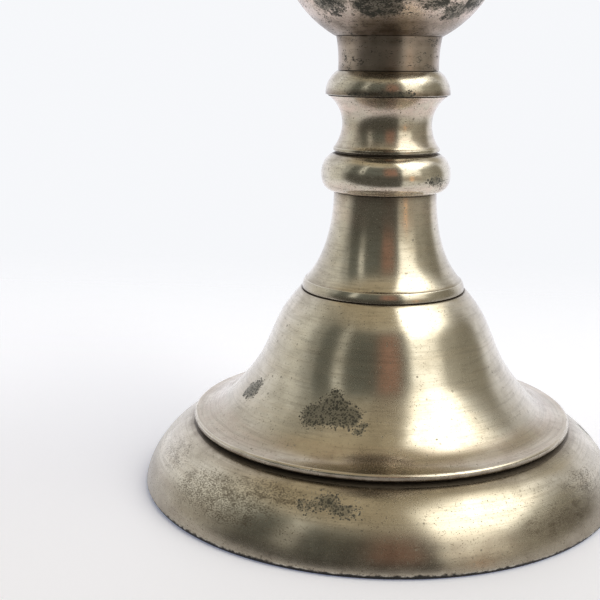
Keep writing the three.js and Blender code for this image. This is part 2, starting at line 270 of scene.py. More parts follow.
def make_floor():
    """A pale sweep that fades into the background."""
    mesh = bpy.data.meshes.new("floor")
    rings = (0.2, 0.5, 1.6)
    segments = 96
    turns = [2 * math.pi * j / segments for j in range(segments)]
    points = [(ring * math.cos(turn), ring * math.sin(turn), 0) for ring in rings for turn in turns]
    faces = [list(range(segments))]
    for i in range(len(rings) - 1):
        inner, outer = i * segments, (i + 1) * segments
        for j in range(segments):
            k = (j + 1) % segments
            faces.append([inner + j, outer + j, outer + k, inner + k])
    mesh.from_pydata(points, [], faces)
    floor = bpy.data.objects.new("floor", mesh)
    floor.location.z = FLOOR_Z
    bpy.context.scene.collection.objects.link(floor)
    material, g = new_material("pale_sweep")
    place = g.node("ShaderNodeTexCoord").outputs["Object"]
    y = g.node("ShaderNodeSeparateXYZ", {"Vector": place}).outputs["Y"]
    away = g.node("ShaderNodeVectorMath", {0: place}, operation="LENGTH").outputs["Value"]
    grain = g.noise(place, 900, 3)
    bump = g.node("ShaderNodeBump", {"Strength": 0.15, "Distance": 0.0002, "Height": grain})
    shader = g.node("ShaderNodeBsdfPrincipled", {
        "Base Color": FLOOR_COLOUR,
        "Roughness": 0.6,
        "Specular IOR Level": 0.25,
        "Emission Color": g.mix(g.smooth(y, -0.12, 0.12), FLOOR_GLOW_NEAR, FLOOR_GLOW_FAR),
        "Emission Strength": 1.0,
        "Normal": bump.outputs[0],
    })
    clear = g.node("ShaderNodeBsdfTransparent")
    ends = g.either(g.smooth(y, 0.05, 0.40), g.smooth(y, -0.10, -0.19))
    fade = g.either(g.smooth(away, 0.2, 0.8), ends)
    surface = g.node("ShaderNodeMixShader", {0: fade, 1: shader.outputs[0], 2: clear.outputs[0]})
    g.node("ShaderNodeOutputMaterial", {"Surface": surface.outputs[0]})
    mesh.materials.append(material)


# ---------------------------------------------------------------- outlines of the turned pieces

CORNER = math.radians(31)


def meridian(node):
    """A turned node's outline as points of (radius, height) in mm, up the outside and down the
    inside, and whether it closes on itself. It is read from the half plane that faces -Y."""
    mesh = frame["nodes"][node].data
    here = {}
    for vertex in mesh.vertices:
        x, y, z = vertex.co / MM
        if abs(x) < 1e-3 and y < 1e-3:
            here[vertex.index] = (abs(round(y, 3)), round(z, 3))
    links = {}
    for edge in mesh.edges:
        a, b = (here.get(i) for i in edge.vertices)
        if a and b and a != b:
            links.setdefault(a, set()).add(b)
            links.setdefault(b, set()).add(a)
    tips = sorted(p for p, near in links.items() if len(near) == 1)
    chain = [tips[0] if tips else min(links)]
    while True:
        onward = sorted(p for p in links[chain[-1]] if p not in chain)
        if not onward:
            break
        chain.append(onward[0])
    points = np.array(chain)
    after = np.roll(points, -1, axis=0)
    area = (points[:, 0] * after[:, 1] - after[:, 0] * points[:, 1]).sum()
    return (points if area > 0 else points[::-1]), not tips


def bend_at(before, here, after):
    """The outline's turn at a point, in radians, positive where the edge stands out."""
    a, b = here - before, after - here
    return math.atan2(a[0] * b[1] - a[1] * b[0], a @ b)


def curve_through(run, spacing):
    """A smooth curve through points, with a point about every spacing."""
    chords = np.linalg.norm(np.diff(run, axis=0), axis=1)
    knots = np.r_[0, np.cumsum(np.sqrt(chords))]
    slopes = np.gradient(run, knots, axis=0, edge_order=min(2, len(run) - 1))
    points = [run[:1]]
    for i, chord in enumerate(chords):
        t = np.linspace(0, 1, max(1, math.ceil(chord / spacing)) + 1)[1:, None]
        span = knots[i + 1] - knots[i]
        points.append(
            (2 * t**3 - 3 * t**2 + 1) * run[i]
            + (t**3 - 2 * t**2 + t) * span * slopes[i]
            + (3 * t**2 - 2 * t**3) * run[i + 1]
            + (t**3 - t**2) * span * slopes[i + 1]
        )
    return np.concatenate(points)


def trimmed(line, start, end):
    """A polyline with a length cut off each end."""
    along = np.r_[0, np.cumsum(np.linalg.norm(np.diff(line, axis=0), axis=1))]
    low, high = start, along[-1] - end
    inner = line[(along > low + 1e-4) & (along < high - 1e-4)]
    ends = [[np.interp(s, along, line[:, k]) for k in (0, 1)] for s in (low, high)]
    return np.concatenate([ends[:1], inner, ends[1:]])


def dressed(node, spacing, edge_radius):
    """A turned node's outline with curved stretches, rounded edges and close points, whether it
    closes on itself, and for each point how much it lies on an outer edge."""
    points, closed = meridian(node)
    count = len(points)
    bends = [bend_at(points[i - 1], points[i], points[(i + 1) % count]) for i in range(count)]
    if not closed:
        bends[0] = bends[-1] = 0
    corners = [i for i in range(count) if abs(bends[i]) > CORNER]
    if closed:
        points, bends = np.roll(points, -corners[0], axis=0), np.roll(bends, -corners[0])
        corners = [i - corners[0] for i in corners] + [count]
        points, bends = np.concatenate([points, points[:1]]), np.r_[bends, bends[0]]
    else:
        corners = [0, *corners, count - 1]
    runs = [curve_through(points[a : b + 1], spacing) for a, b in zip(corners, corners[1:])]
    lengths = [np.linalg.norm(np.diff(run, axis=0), axis=1).sum() for run in runs]
    cuts = [min(edge_radius, 0.3 * length) for length in lengths]
    joined, edges = [], []
    for i, run in enumerate(runs):
        first, last = closed or i > 0, closed or i < len(runs) - 1
        line = trimmed(run, cuts[i] if first else 0, cuts[i] if last else 0)
        joined.append(line)
        edges.append(np.zeros(len(line)))
        if last:
            after = runs[(i + 1) % len(runs)]
            onward = trimmed(after, cuts[(i + 1) % len(runs)], 0)[0]
            t = np.linspace(0, 1, 5)[1:-1, None]
            joined.append((1 - t) ** 2 * line[-1] + 2 * t * (1 - t) * run[-1] + t**2 * onward)
            edges.append(np.full(3, float(bends[corners[i + 1]] > 0)))
    return np.concatenate(joined), closed, np.concatenate(edges)


def normals_of(outline, closed):
    """Unit normals of an outline, out of the metal."""
    if closed:
        along = np.roll(outline, -1, axis=0) - np.roll(outline, 1, axis=0)
    else:
        along = np.gradient(outline, axis=0)
    out = np.stack([along[:, 1], -along[:, 0]], axis=1)
    return out / np.maximum(np.linalg.norm(out, axis=1, keepdims=True), 1e-9)


def shelter(outline, normals, around, reach=6.0):
    """How far each point of an outline is shut in by what stands round it. 0 is in the open."""
    shut = np.zeros(len(outline))
    for i, (point, normal) in enumerate(zip(outline, normals)):
        away = around - point
        distance = np.linalg.norm(away, axis=1)
        rise = away @ normal
        side = away @ np.array([-normal[1], normal[0]])
        near = (distance < reach) & (rise > 0.03)
        open_angle = np.arctan2(np.abs(side[near]), rise[near])
        open_angle += (math.pi / 2 - open_angle) * (distance[near] / reach) ** 2
        left, right = open_angle[side[near] < 0], open_angle[side[near] >= 0]
        total = min(left, default=math.pi / 2) + min(right, default=math.pi / 2)
        shut[i] = 1 - total / math.pi
    return shut


# ---------------------------------------------------------------- where the wear is

# Tarnish marks: bearing in degrees from -Y towards +X, then height, half width and half length in
# mm, and strength.
MARKS = {
    "bell_base": [
        (-19, 37.5, 2.6, 2.0, 1.0),
        (-18.5, 32.8, 7.5, 3.4, 1.0),
        (-18, 35.0, 5.0, 2.8, 1.0),
        (-26, 32.3, 3.6, 3.2, 1.0),
        (-11, 33.4, 3.0, 3.4, 1.0),
        (-5.4, 31.7, 1.2, 0.9, 1.0),
        (-7.5, 30.2, 1.6, 1.2, 1.0),
        (3.9, 34.9, 1.3, 0.8, 1.0),
        (-64, 33.0, 3.4, 3.2, 1.0),
        (-60, 35.2, 1.8, 1.6, 0.9),
        (-68, 31.5, 1.8, 1.8, 0.9),
        (112, 34.0, 7.0, 4.0, 0.95),
        (120, 31.0, 4.0, 3.0, 0.9),
        (158, 28.0, 5.5, 2.0, 0.8),
        (-140, 39.0, 5.0, 2.4, 0.75),
    ],
    "foot_flange": [
        (-12, 15.4, 5.6, 3.2, 0.75),
        (-7.5, 15.0, 4.4, 2.4, 0.75),
        (-16.5, 15.0, 3.6, 2.2, 0.7),
        (4.7, 14.3, 1.0, 0.6, 0.9),
        (150, 14.0, 9.0, 4.0, 0.85),
        (-120, 10.0, 11.0, 4.0, 0.8),
        (95, 15.0, 5.0, 3.0, 0.8),
    ],
    "lower_bead": [
        (-26, 122.3, 8.0, 0.6, 0.8),
        (8, 122.3, 9.0, 0.9, 1.0),
        (38, 122.4, 9.0, 1.1, 1.0),
        (160, 122.4, 9.0, 1.0, 0.8),
    ],
    "upper_bead": [(-30, 214.2, 9.0, 0.9, 0.8), (140, 214.2, 8.0, 1.0, 0.8)],
    "ball_lower_half": [
        (-40, 148.0, 7.0, 4.0, 0.9),
        (-8, 147.4, 8.0, 4.6, 1.0),
        (-4, 143.6, 3.0, 1.4, 0.7),
        (14, 152.0, 12.0, 5.0, 0.9),
        (30, 148.2, 5.0, 3.0, 0.9),
        (48, 145.2, 5.0, 3.2, 0.9),
        (64, 150.5, 8.0, 6.0, 0.9),
        (110, 153.0, 12.0, 6.0, 0.9),
        (170, 149.0, 14.0, 7.0, 0.9),
        (-110, 157.0, 11.0, 7.0, 0.85),
        (-60, 160.0, 9.0, 4.0, 0.8),
    ],
    "ball_upper_half": [
        (-30, 173.0, 12.0, 5.0, 0.75),
        (75, 181.0, 9.0, 6.0, 0.8),
        (10, 186.0, 7.0, 4.0, 0.7),
        (-150, 177.0, 14.0, 6.0, 0.8),
    ],
    "lower_ring": [(50, 96.6, 4.0, 1.6, 0.8), (150, 97.6, 6.0, 2.5, 0.8)],
    "upper_ring": [(-50, 238.6, 5.0, 2.5, 0.75)],
    "capital_cone": [(35, 262.6, 5.0, 4.0, 0.9), (-100, 257.6, 4.0, 5.0, 0.85)],
    "neck_cone": [(130, 74.6, 4.0, 5.0, 0.9)],
    "drip_pan": [
        (-40, 282.2, 7.0, 4.0, 0.85),
        (120, 278.4, 11.0, 6.0, 0.8),
        (60, 284.2, 5.0, 3.0, 0.8),
    ],
}

# Places with dense brown pits, in the same terms.
PITTED = {
    "foot_flange": [
        (-40, 12.6, 21.0, 6.5, 1.0),
        (-28, 16.5, 15.0, 3.5, 0.85),
        (-66, 15.0, 12.0, 6.0, 0.7),
        (45, 9.8, 15.0, 4.0, 1.0),
        (58, 12.0, 12.0, 5.0, 0.85),
        (140, 12.0, 24.0, 6.0, 0.5),
        (-150, 12.0, 20.0, 6.0, 0.5),
    ],
    "bell_base": [
        (-30, 29.0, 12.0, 3.0, 0.25),
        (-120, 27.0, 16.0, 4.0, 0.35),
        (100, 27.0, 18.0, 5.0, 0.3),
    ],
    "lower_ring": [(62, 95.2, 7.0, 2.0, 0.7)],
    "lower_bead": [(0, 122.2, 50.0, 0.7, 1.0), (160, 122.3, 40.0, 0.7, 0.9)],
    "lower_spool": [(-15, 105.6, 9.0, 1.4, 0.8), (-20, 118.4, 10.0, 2.0, 0.4)],
    "drip_pan": [(0, 278.6, 20.0, 10.0, 0.35)],
}

# Bands all round a piece: middle height and half length in mm, and strength. First where a brown
# film lies; the foot's low band is partly film and partly a painted dark reflection.
FILM_AND_DARK_REFLECTION = {
    # Partly brown film, partly a painted reflection of dark surroundings.
    "foot_flange": [(4.6, 5.4, 0.62)],
    "lower_collar": [(133.4, 20.0, 0.5), (138.2, 2.4, 0.9), (128.7, 1.6, 0.8)],
    "upper_collar": [(203.0, 20.0, 0.58), (208.0, 1.2, 0.8)],
    "bell_base": [(20.6, 1.5, 1.0)],
    "lower_bead": [(121.9, 0.8, 0.9)],
    "neck_cone": [(91.8, 1.2, 0.45)],
    "ball_lower_half": [(138.2, 4.8, 1.0)],
}

# Then where the silver has gone and a rosy brass shows.
ROSY = {
    "lower_spool": [(119.6, 3.6, 0.9), (109.5, 3.0, 0.3)],
    "upper_spool": [(216.5, 3.0, 0.6)],
    "lower_bead": [(121.4, 1.2, 0.5)],
    "lower_ring": [(93.6, 2.0, 0.6)],
    "neck_cone": [(88.0, 5.0, 0.3)],
    "ball_lower_half": [(146.0, 6.0, 0.7)],
    "ball_upper_half": [(176.0, 6.0, 0.4)],
    "bell_base": [(24.0, 2.2, 0.25)],
    "drip_pan": [(279.6, 4.0, 0.3)],
}

# How thickly each piece is peppered with fine pits, from 0 to 1.
PITTING = {
    "foot_flange": 0.24,
    "bell_base": 0.16,
    "neck_cone": 0.12,
    "capital_cone": 0.15,
    "lower_ring": 0.35,
    "upper_ring": 0.3,
    "lower_bead": 0.45,
    "upper_bead": 0.35,
    "lower_spool": 0.25,
    "upper_spool": 0.22,
    "lower_collar": 0.14,
    "upper_collar": 0.14,
    "ball_lower_half": 0.45,
    "ball_upper_half": 0.4,
    "drip_pan": 0.3,
    "capital_plate": 0.3,
}

# Sheet pieces that were spun over a former and ripple a little, in mm.
RIPPLE = {
    "foot_flange": 0.05,
    "bell_base": 0.06,
    "ball_lower_half": 0.05,
    "ball_upper_half": 0.05,
    "drip_pan": 0.05,
    "neck_cone": 0.02,
    "capital_cone": 0.02,
}

# ---------------------------------------------------------------- meshes

WIDE = ("foot_flange", "base_weight", "bell_base", "ball_lower_half", "ball_upper_half", "drip_pan")
PLAIN_EDGES = 0.12
SOFT_EDGES = {"foot_flange": 0.35, "bell_base": 0.3, "drip_pan": 0.3, "base_weight": 1.2}
FOOT_LIP_RADIUS = 73.0
POINT_SPACING = 1.1
WIDE_SEGMENTS = 224
STEM_SEGMENTS = 144
COMMON_PITTING = 0.2
NOT_TURNED = ("capital_nut", "foot_nut", "lock_washer", "tie_rod")


def smoothstep(low, high, value):
    """Goes from 0 to 1 as value goes from low to high, which may be the other way round."""
    t = np.clip((value - low) / (high - low), 0, 1)
    return t * t * (3 - 2 * t)


def cover_of(marks, positions, outline):
    """How far each point of a piece lies inside its marks, from 0 to 1."""
    cover = np.zeros(len(positions))
    for bearing, height, half_width, half_length, strength in marks:
        nearest = outline[np.argmin(np.abs(outline[:, 1] - height) - 0.02 * outline[:, 0])]
        turn = math.radians(bearing)
        around = np.array([math.cos(turn), math.sin(turn), 0])
        outward = np.array([math.sin(turn), -math.cos(turn), 0])
        away = positions - (outward * nearest[0] + np.array([0, 0, nearest[1]]))
        sideways = away @ around
        along = np.sqrt(np.maximum((away**2).sum(axis=1) - sideways**2, 0))
        off_centre = np.sqrt((sideways / half_width) ** 2 + (along / half_length) ** 2)
        cover = np.maximum(cover, strength * smoothstep(1.7, 0.45, off_centre))
    return cover


def bands_on(bands, outline):
    """How far each point of an outline lies inside bands, from 0 to 1."""
    inside = np.zeros(len(outline))
    for height, half_length, strength in bands:
        away = np.abs(outline[:, 1] - height) / half_length
        inside = np.maximum(inside, strength * smoothstep(1.5, 0.6, away))
    return inside


def film_on(node, outline, normals):
    """How thick the brown film is along an outline; low on the foot it is partly a painted dark
    reflection. The foot and the bell are bare inside.
    """
    film = bands_on(FILM_AND_DARK_REFLECTION.get(node, []), outline)
    if node in ("foot_flange", "bell_base"):
        inner = (normals[:, 0] < -0.3) | (normals[:, 1] < -0.3)
        film[inner & (outline[:, 0] < FOOT_LIP_RADIUS)] = 1.0
    return film


def ripple_of(node, turn, height):
    """A slow in and out of spun sheet, as a share of its depth."""
    phase = 1.7 * (sum(map(ord, node)) % 11)
    return (
        0.5 * np.cos(2 * turn + phase)
        + 0.3 * np.cos(5 * turn + 0.21 * height + 2 * phase)
        + 0.2 * np.cos(9 * turn - 0.34 * height + phase)
    )


def revolved(name, outline, closed, segments, shape=None):
    """A mesh turned about Z from an outline in mm, and its points. shape moves them, given the
    turn of each."""
    turn = np.linspace(0, 2 * math.pi, segments, endpoint=False)
    radius = np.repeat(outline[:, :1], segments, axis=1)
    height = np.repeat(outline[:, 1:], segments, axis=1)
    turns = np.broadcast_to(turn, radius.shape)
    if shape:
        radius, height = shape(radius, height, turns)
    grid = np.stack([radius * np.sin(turns), -radius * np.cos(turns), height], axis=-1)
    numbers = np.arange(grid.shape[0] * segments).reshape(grid.shape[:2])
    for i in np.flatnonzero(outline[:, 0] < 1e-4):
        numbers[i] = numbers[i, 0]
    rows = len(outline) if closed else len(outline) - 1
    faces = []
    for i in range(rows):
        below, above = numbers[i], numbers[(i + 1) % len(outline)]
        for j in range(segments):
            k = (j + 1) % segments
            corners = [below[j], below[k], above[k], above[j]]
            faces.append(list(dict.fromkeys(corners)))
    mesh = bpy.data.meshes.new(name)
    mesh.from_pydata((grid.reshape(-1, 3) * MM).tolist(), [], faces)
    mesh.validate()
    return mesh, grid.reshape(-1, 3)


def keep_numbers(mesh, **values):
    """Stores numbers on a mesh's points for its material to read."""
    for name, numbers in values.items():
        attribute = mesh.attributes.new(name, "FLOAT", "POINT")
        attribute.data.foreach_set("value", np.asarray(numbers, np.float32))


def body_of(node):
    bodies = frame["record"]["behaviour"]["bodies"]
    return next(body for body, members in bodies.items() if node in members)


SLOTS = {row["node"]: row["material_slot"] for row in frame["record"]["subparts"]}


def finished(name, mesh, node, material):
    """A piece that stands for a CAD node and moves with it."""
    mesh.polygons.foreach_set("use_smooth", np.ones(len(mesh.polygons), bool))
    mesh.materials.append(material)
    piece = bpy.data.objects.new(name, mesh)
    bpy.context.scene.collection.objects.link(piece)
    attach(piece, body_of(node))
    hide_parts(node)
    return piece


def turned_pieces(materials):
    """Every turned node again as a fine surface."""
    nodes = [n for n in frame["nodes"] if n not in NOT_TURNED]
    outlines = {n: dressed(n, POINT_SPACING, SOFT_EDGES.get(n, PLAIN_EDGES)) for n in nodes}
    everything = np.concatenate([outline for outline, _, _ in outlines.values()])
    for node in nodes:
        outline, closed, edge = outlines[node]
        normals = normals_of(outline, closed)
        shut = shelter(outline, normals, everything)
        segments = WIDE_SEGMENTS if node in WIDE else STEM_SEGMENTS
        depth = RIPPLE.get(node, 0)

        def shape(radius, height, turns, node=node, normals=normals, depth=depth):
            wave = depth * ripple_of(node, turns, height)
            return radius + wave * normals[:, :1], height + wave * normals[:, 1:]

        mesh, positions = revolved(f"{node}_turned", outline, closed, segments, shape)
        pitted = cover_of(PITTED.get(node, []), positions, outline)
        keep_numbers(
            mesh,
            shut_in=np.repeat(shut, segments),
            edge=np.repeat(edge, segments),
            tarnish=cover_of(MARKS.get(node, []), positions, outline),
            pitting=np.maximum(PITTING.get(node, COMMON_PITTING), pitted),
            film=np.repeat(film_on(node, outline, normals), segments),
            rosy=np.repeat(bands_on(ROSY.get(node, []), outline), segments),
        )
        finished(f"{node}_turned", mesh, node, materials[SLOTS[node]])


# M6 hardware, in mm.
THREAD_RADIUS = 3.0
THREAD_PITCH = 1.0
THREAD_DEPTH = 0.55
THREADED_LENGTH = 24.0
THREAD_CHAMFER = 0.8
ROD_END_SHARE = 0.72
ROD_SEGMENTS = 40
NUT_HOLE_RADIUS = 3.1
NUT_CHAMFER = math.radians(28)
NUT_CORNER_ROUNDING = 0.985
NUT_FACE_SHARE = 0.96
NUT_SINK_DEPTH = 0.6
NUT_SINK_WIDTH = 0.5
NUT_SEGMENTS = 144
WASHER_HOLE_RADIUS = 3.4
WASHER_SPLIT = math.radians(8)
WASHER_SPRING = 0.1
BARE_PITTING = 0.4


def hexagon(turns, across):
    """The radius of a hexagon with slightly rounded corners."""
    sector = (turns + math.pi / 6) % (math.pi / 3) - math.pi / 6
    return np.minimum(across / 2 / np.cos(sector), across / math.sqrt(3) * NUT_CORNER_ROUNDING)


def keep_bare_wear(mesh, shut_in=None, edge=None, pitting=BARE_PITTING):
    """Stores the wear of a steel piece, which has no tarnish."""
    nothing = np.zeros(len(mesh.vertices))
    keep_numbers(
        mesh,
        shut_in=nothing if shut_in is None else shut_in,
        edge=nothing if edge is None else edge,
        tarnish=nothing,
        pitting=np.full(len(mesh.vertices), pitting),
    )


def nut_piece(node, material):
    """A hexagonal nut with turned chamfers and a countersunk hole."""
    low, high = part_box(node)
    bottom, top = low.z / MM, high.z / MM
    across = (high.y - low.y) / MM
    hole = NUT_HOLE_RADIUS
    face = across / 2 * NUT_FACE_SHARE
    corner = across / math.sqrt(3)
    drop = (corner - face) * math.tan(NUT_CHAMFER)
    side = [(corner, bottom + drop + (top - bottom - 2 * drop) * i / 6) for i in range(7)]
    below = [(face + (corner - face) * i / 4, bottom + drop * i / 4) for i in range(4)]
    above = [(face + (corner - face) * i / 4, top - drop * i / 4) for i in range(4)]
    sink_low = [(hole, bottom + NUT_SINK_DEPTH), (hole + NUT_SINK_WIDTH, bottom)]
    sink_high = [(hole + NUT_SINK_WIDTH, top), (hole, top - NUT_SINK_DEPTH)]
    outline = np.array([*sink_low, *below, *side, *above[::-1], *sink_high])

    def shape(radius, height, turns):
        return np.minimum(radius, hexagon(turns, across)), height

    mesh, positions = revolved(f"{node}_hex", outline, True, NUT_SEGMENTS, shape)
    edge = (np.hypot(positions[:, 0], positions[:, 1]) > corner * 0.965).astype(float)
    keep_bare_wear(mesh, edge=edge)
    finished(f"{node}_hex", mesh, node, material)


def lock_washer_piece(material):
    """A spring washer: a square wire in one turn, whose cut ends stand a little apart."""
    low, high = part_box("lock_washer")
    outer = high.x / MM
    inner = WASHER_HOLE_RADIUS
    half_thick = (high.z - low.z) / MM / 2 - WASHER_SPRING
    middle = (low.z + high.z) / 2 / MM
    # The wire's section: radius, and height as a share of half its thickness.
    section = [
        (inner, -1), (inner + 0.1, -1), (outer - 0.15, -1), (outer, -0.75), (outer, 0.75),
        (outer - 0.15, 1), (inner + 0.1, 1), (inner, 0.8), (inner, -0.8),
    ]
    steps = 120
    count = len(section)
    points, faces = [], []
    for i in range(steps + 1):
        share = i / steps
        turn = WASHER_SPLIT + (2 * math.pi - 2 * WASHER_SPLIT) * share
        lift = (share - 0.5) * 2 * WASHER_SPRING
        for radius, side in section:
            height = middle + lift + side * half_thick
            points.append((radius * math.cos(turn) * MM, radius * math.sin(turn) * MM, height * MM))
    for i in range(steps):
        for k in range(count):
            n = (k + 1) % count
            faces.append([i * count + k, i * count + n, (i + 1) * count + n, (i + 1) * count + k])
    faces.append(list(range(count))[::-1])
    faces.append([steps * count + k for k in range(count)])
    mesh = bpy.data.meshes.new("lock_washer_sprung")
    mesh.from_pydata(points, [], faces)
    mesh.validate()
    keep_bare_wear(mesh)
    finished("lock_washer_sprung", mesh, "lock_washer", material)


def tie_rod_piece(material):
    """The rod, with its M6 thread at both ends."""
    low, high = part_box("tie_rod")
    bottom, top = low.z / MM, high.z / MM
    radius = THREAD_RADIUS
    first, last = bottom + THREAD_CHAMFER, top - THREAD_CHAMFER
    steps_a_pitch = 8
    count = int(THREADED_LENGTH / THREAD_PITCH * steps_a_pitch)
    lower = [(radius, first + THREADED_LENGTH * i / count) for i in range(count + 1)]
    upper = [(radius, last - THREADED_LENGTH * i / count) for i in range(count + 1)][::-1]
    shank = [(radius, z) for z in np.linspace(lower[-1][1], upper[0][1], 40)[1:-1]]
    end_radius = radius * ROD_END_SHARE
    outline = np.array([
        (0, bottom), (end_radius, bottom), *lower, *shank, *upper, (end_radius, top), (0, top),
    ])

    def shape(size, height, turns):
        fade = np.maximum(
            smoothstep(first + THREADED_LENGTH, bottom + THREADED_LENGTH - 2, height),
            smoothstep(last - THREADED_LENGTH, top - THREADED_LENGTH + 2, height),
        )
        wave = np.abs(((height / THREAD_PITCH - turns / (2 * math.pi)) % 1) * 2 - 1)
        cut = THREAD_DEPTH * fade * smoothstep(0.08, 0.92, wave)
        return np.where(size >= radius - 1e-6, size - cut, size), height

    mesh, positions = revolved("tie_rod_threaded", outline, False, ROD_SEGMENTS, shape)
    groove = np.clip((radius - np.hypot(positions[:, 0], positions[:, 1])) / THREAD_DEPTH, 0, 1)
    keep_bare_wear(mesh, shut_in=groove * 0.7, pitting=0.35)
    finished("tie_rod_threaded", mesh, "tie_rod", material)


# ---------------------------------------------------------------- materials

SPECK = (0.034, 0.034, 0.026)
TARNISH = (0.125, 0.122, 0.092)
PIT = (0.095, 0.073, 0.050)
# A dirt colour that also serves as painted shade in the joints.
DIRT_AND_SHADE = (0.075, 0.057, 0.040)
TURNED = (0.26, 0.235, 0.185)
BROWN_FILM_AND_SHADE = (0.155, 0.120, 0.088)
ROSY_BRASS = (0.70, 0.565, 0.48)
PALE_EDGE_HIGHLIGHT = (0.80, 0.77, 0.68)
BLACK = (0.012, 0.009, 0.007)
STEEL = (0.40, 0.39, 0.37)
DULL_STEEL = (0.27, 0.26, 0.245)
BRIGHT_STEEL = (0.52, 0.51, 0.49)
RUST = (0.115, 0.052, 0.026)
OLD_GREASE = (0.05, 0.042, 0.035)
IRON_PAINT = (0.028, 0.027, 0.026)
WORN_PAINT = (0.060, 0.057, 0.052)
IRON_RUST = (0.12, 0.05, 0.022)


def ring_noise(g, place, pitch, stretch, detail):
    """Noise in rings about Z, with lines a pitch apart in metres."""
    x, y, z = g.node("ShaderNodeSeparateXYZ", {"Vector": place}).outputs
    radius = g.either(g.math("SQRT", g.add(g.times(x, x), g.times(y, y))), 1e-5)
    cosine, sine = g.math("DIVIDE", x, radius), g.math("DIVIDE", y, radius)
    ring = g.node("ShaderNodeCombineXYZ", {
        "X": g.times(radius, 1 / pitch), "Y": g.times(z, 1 / pitch), "Z": g.times(cosine, stretch),
    })
    return g.noise(ring.outputs[0], 1.0, detail, 0.6, W=g.times(sine, stretch))


def brass_noises(g):
    """The noises that the wear on brass is made of: rings, then clouds from wide to fine."""
    place = g.node("ShaderNodeTexCoord").outputs["Object"]
    x, y, z = g.node("ShaderNodeSeparateXYZ", {"Vector": place}).outputs
    flat = g.node("ShaderNodeCombineXYZ", {"X": x, "Y": y, "Z": g.times(z, 2.0)}).outputs[0]
    return SimpleNamespace(
        place=place,
        z=z,
        fine=ring_noise(g, place, 0.0008, 3.0, 3.0),
        broad=ring_noise(g, place, 0.0022, 1.6, 2.0),
        cloud=g.noise(place, 42, 4.0, 0.6),
        blotch=g.noise(place, 190, 3.0, 0.6),
        smoke=g.noise(flat, 210, 6.0, 0.72),
        lobes=g.noise(place, 560, 3.0, 0.55),
        grit=g.noise(flat, 1700, 3.0, 0.65),
    )


def bare_silver(g, noises, hazy, clean, dull, warm):
    """Silvering with dull clouds, warm rings, rosy brass, turning lines, and pale outer edges that
    are partly rubbed silver and partly painted highlights.
    """
    colour = g.mix(hazy, clean, dull)
    colour = g.mix(g.times(g.smooth(noises.broad, 0.42, 0.72), 0.28), colour, warm)
    uneven = g.smooth(g.add(noises.blotch, g.swing(noises.broad, 0.4)), 0.36, 0.60, 0.25, 0.9)
    colour = g.mix(g.times(g.attribute("rosy"), uneven), colour, ROSY_BRASS)
    colour = g.mix(g.times(g.smooth(noises.fine, 0.47, 0.64), 0.27), colour, TURNED)
    # Outer edges turn pale: partly rubbed silver, partly a painted highlight.
    rubbed_and_highlit = g.times(g.attribute("edge"), g.smooth(noises.blotch, 0.38, 0.52, 0.12, 0.7))
    return g.mix(rubbed_and_highlit, colour, PALE_EDGE_HIGHLIGHT)


def film_with_joint_shade(g, noises, shut_in):
    """How thickly a brown film lies: in its bands, one of them partly a painted dark reflection,
    and thinly round the joints, where it is partly film and partly painted shade.
    """
    # Round the joints the brown is partly film and partly painted shade, set by how shut in a point
    # is.
    halo_shade = g.smooth(g.add(shut_in, g.swing(noises.blotch, 0.30)), 0.02, 0.34)
    streaks = g.smooth(g.add(noises.blotch, g.swing(noises.fine, 0.6)), 0.32, 0.66, 1.0, 0.62)
    return g.either(g.times(g.attribute("film"), streaks), g.times(halo_shade, 0.55))


def fine_pits(g, noises, colour):
    """Freckles, round pits, and a brown bruise where the pits are dense.
    Gives the colour and the pits."""
    pitting = g.attribute("pitting")
    thickness = g.add(g.add(noises.grit, g.times(pitting, 0.17)), g.swing(noises.lobes, 0.16))
    freckles = g.smooth(thickness, 0.635, 0.70)
    colour = g.mix(g.times(freckles, 0.5), colour, PIT)
    gathered = g.smooth(g.add(noises.cloud, g.swing(noises.blotch, 0.6)), 0.42, 0.64)
    share = g.times(pitting, g.add(0.10, g.times(gathered, 0.5)))
    small = g.dots(noises.place, 2300, share, 0.27)
    pits = g.either(small, g.dots(noises.place, 1300, g.times(share, 0.3), 0.22))
    colour = g.mix(g.times(pits, 0.6), colour, PIT)
    ragged = g.smooth(g.add(noises.smoke, g.swing(noises.grit, 0.4)), 0.46, 0.64)
    bruise = g.times(g.smooth(pitting, 0.35, 0.8), ragged)
    return g.mix(g.times(bruise, 0.52), colour, PIT), g.either(pits, freckles)


def tarnish_marks(g, noises, mottle, colour):
    """Dark marks of dots on a stained ground, and smoky patches by mottle.
    Gives the colour, and where the stain, the dots and the smoke are."""
    tarnish = g.attribute("tarnish")
    near = g.smooth(tarnish, 0.02, 0.10)
    ragged = g.add(tarnish, g.add(g.swing(noises.lobes, 0.85), g.swing(noises.blotch, 0.5)))
    stain = g.times(g.smooth(ragged, 0.46, 0.85), near)
    share = g.times(g.smooth(ragged, 0.16, 0.66, 0.0, 0.92), near)
    large = g.dots(noises.place, 1050, g.times(share, 0.75), 0.38)
    spots = g.either(large, g.dots(noises.place, 1800, share, 0.40))
    spots = g.times(spots, g.less(1.0, g.times(mottle, 0.5)))
    colour = g.mix(g.times(stain, 0.70), colour, TARNISH)
    colour = g.mix(g.times(spots, 0.88), colour, SPECK)
    smoky = g.add(noises.smoke, g.times(tarnish, 0.16))
    smoky = g.add(smoky, g.add(g.swing(noises.grit, 0.7), g.swing(noises.lobes, 0.3)))
    smoky = g.times(g.smooth(smoky, 0.60, 0.68), mottle)
    return g.mix(g.times(smoky, 0.9), colour, SPECK), stain, spots, smoky


